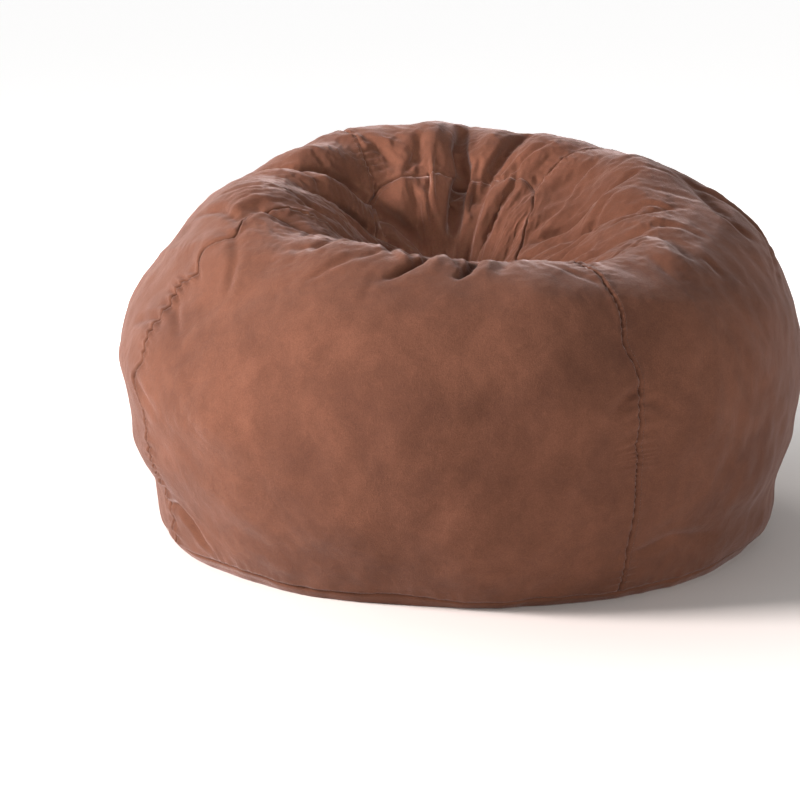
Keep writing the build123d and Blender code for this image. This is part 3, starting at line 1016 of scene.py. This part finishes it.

# -------------------- floor
# A plain white studio floor, matt painted, with painted shade that makes it a little greyer under
# the bag than away from it, where it also glows from below as painted light.
floor_reach = 30
floor_corners = floor_reach * np.array([(-1, -1, 0), (1, -1, 0), (-1, 1, 0), (1, 1, 0)], float)
floor_corners[:, 2] = -0.0004
floor = grid_mesh("floor", floor_corners.reshape(2, 2, 3))
floor_with_painted_shade, tree, shader, place, paint = cloth_finish(
    "matt white floor with painted shade", [(0.0, "#E0DDDB"), (1.0, "#FAF9F8")], Roughness=0.9,
    Specular_IOR_Level=0.1, Emission_Color=(1, 1, 1, 1),
)
from_bag = add_node(tree, "ShaderNodeVectorMath", {0: place}, operation="LENGTH").outputs["Value"]
# painted shade: the floor is grey within 0.6 m of the bag and fades to white by 1.2 m
paint(add_node(tree, "ShaderNodeMapRange", {
    "Value": from_bag, "From Min": 0.60, "From Max": 1.20,
}, interpolation_type="SMOOTHSTEP").outputs["Result"])
# painted light: the floor glows from 1.0 m out from the bag, fully by 2.4 m
glow = add_node(tree, "ShaderNodeMapRange", {
    "Value": from_bag, "From Min": 1.0, "From Max": 2.4, "To Min": 0.0, "To Max": 0.60,
}, interpolation_type="SMOOTHSTEP").outputs["Result"]
tree.links.new(glow, shader.inputs["Emission Strength"])
floor.data.materials.append(floor_with_painted_shade)

# -------------------- light
# A white room with a darker ceiling. One softbox on the left does most of it; weaker ones fill
# from the low right, reach into the hollow, and draw the top edge from behind.
scene = bpy.context.scene
scene.view_settings.view_transform = "Standard"
world = bpy.data.worlds.new("white room")
world.use_nodes = True
sky = world.node_tree
upward = add_node(sky, "ShaderNodeSeparateXYZ", {
    0: add_node(sky, "ShaderNodeTexCoord").outputs["Generated"],
}).outputs["Z"]
dimmer = add_node(sky, "ShaderNodeMapRange", {
    "Value": upward, "From Min": 0.15, "From Max": 0.75, "To Min": 1.0, "To Max": 0.20,
}, interpolation_type="SMOOTHSTEP")
sky.links.new(dimmer.outputs["Result"], sky.nodes["Background"].inputs["Strength"])
sky.nodes["Background"].inputs["Color"].default_value = (1, 1, 1, 1)
scene.world = world


def soft_light(name, place, aim, size, power, colour, spread=180):
    """A square studio softbox at place, turned to aim, gridded to spread degrees."""
    lamp = bpy.data.lights.new(name, "AREA")
    lamp.size = size
    lamp.energy = power
    lamp.spread = np.radians(spread)
    lamp.color = linear(colour)[:3]
    light = bpy.data.objects.new(name, lamp)
    light.location = place
    light.rotation_euler = (Vector(aim) - Vector(place)).to_track_quat("-Z", "Y").to_euler()
    bpy.context.collection.objects.link(light)
    return light


# name, place, aim, size in metres, watts and colour
soft_light("key softbox", (-3.9, -1.4, 2.15), (0, 0, 0.35), 1.1, 480, "#FFF3EF")
soft_light("fill softbox", (2.4, -3.6, 0.9), (0, 0, 0.3), 2.0, 68, "#FFF6F0")
soft_light("hollow softbox", (-0.5, -3.2, 2.7), (-0.02, 0.28, 0.66), 0.5, 0.9, "#FFF1EE", spread=14)
soft_light("edge softbox", (-1.6, 3.4, 2.2), (0, 0, 0.6), 2.0, 70, "#FFF8F4")

# -------------------- camera
# A long lens about 4 m away, a little above the bag.
view_height = np.radians(12)
view_distance = 4.2
target = Vector((0, 0, 0.33))
lens = 98.2  # millimetres
camera = bpy.data.objects.new("camera", bpy.data.cameras.new("camera"))
bpy.context.collection.objects.link(camera)
camera.location = target + view_distance * Vector((0, -np.cos(view_height), np.sin(view_height)))
aim = Vector((-0.1116, 0, 0.2375))  # puts the bag right of the middle
camera.rotation_euler = (aim - camera.location).to_track_quat("-Z", "Y").to_euler()
camera.data.lens = lens
scene.camera = camera
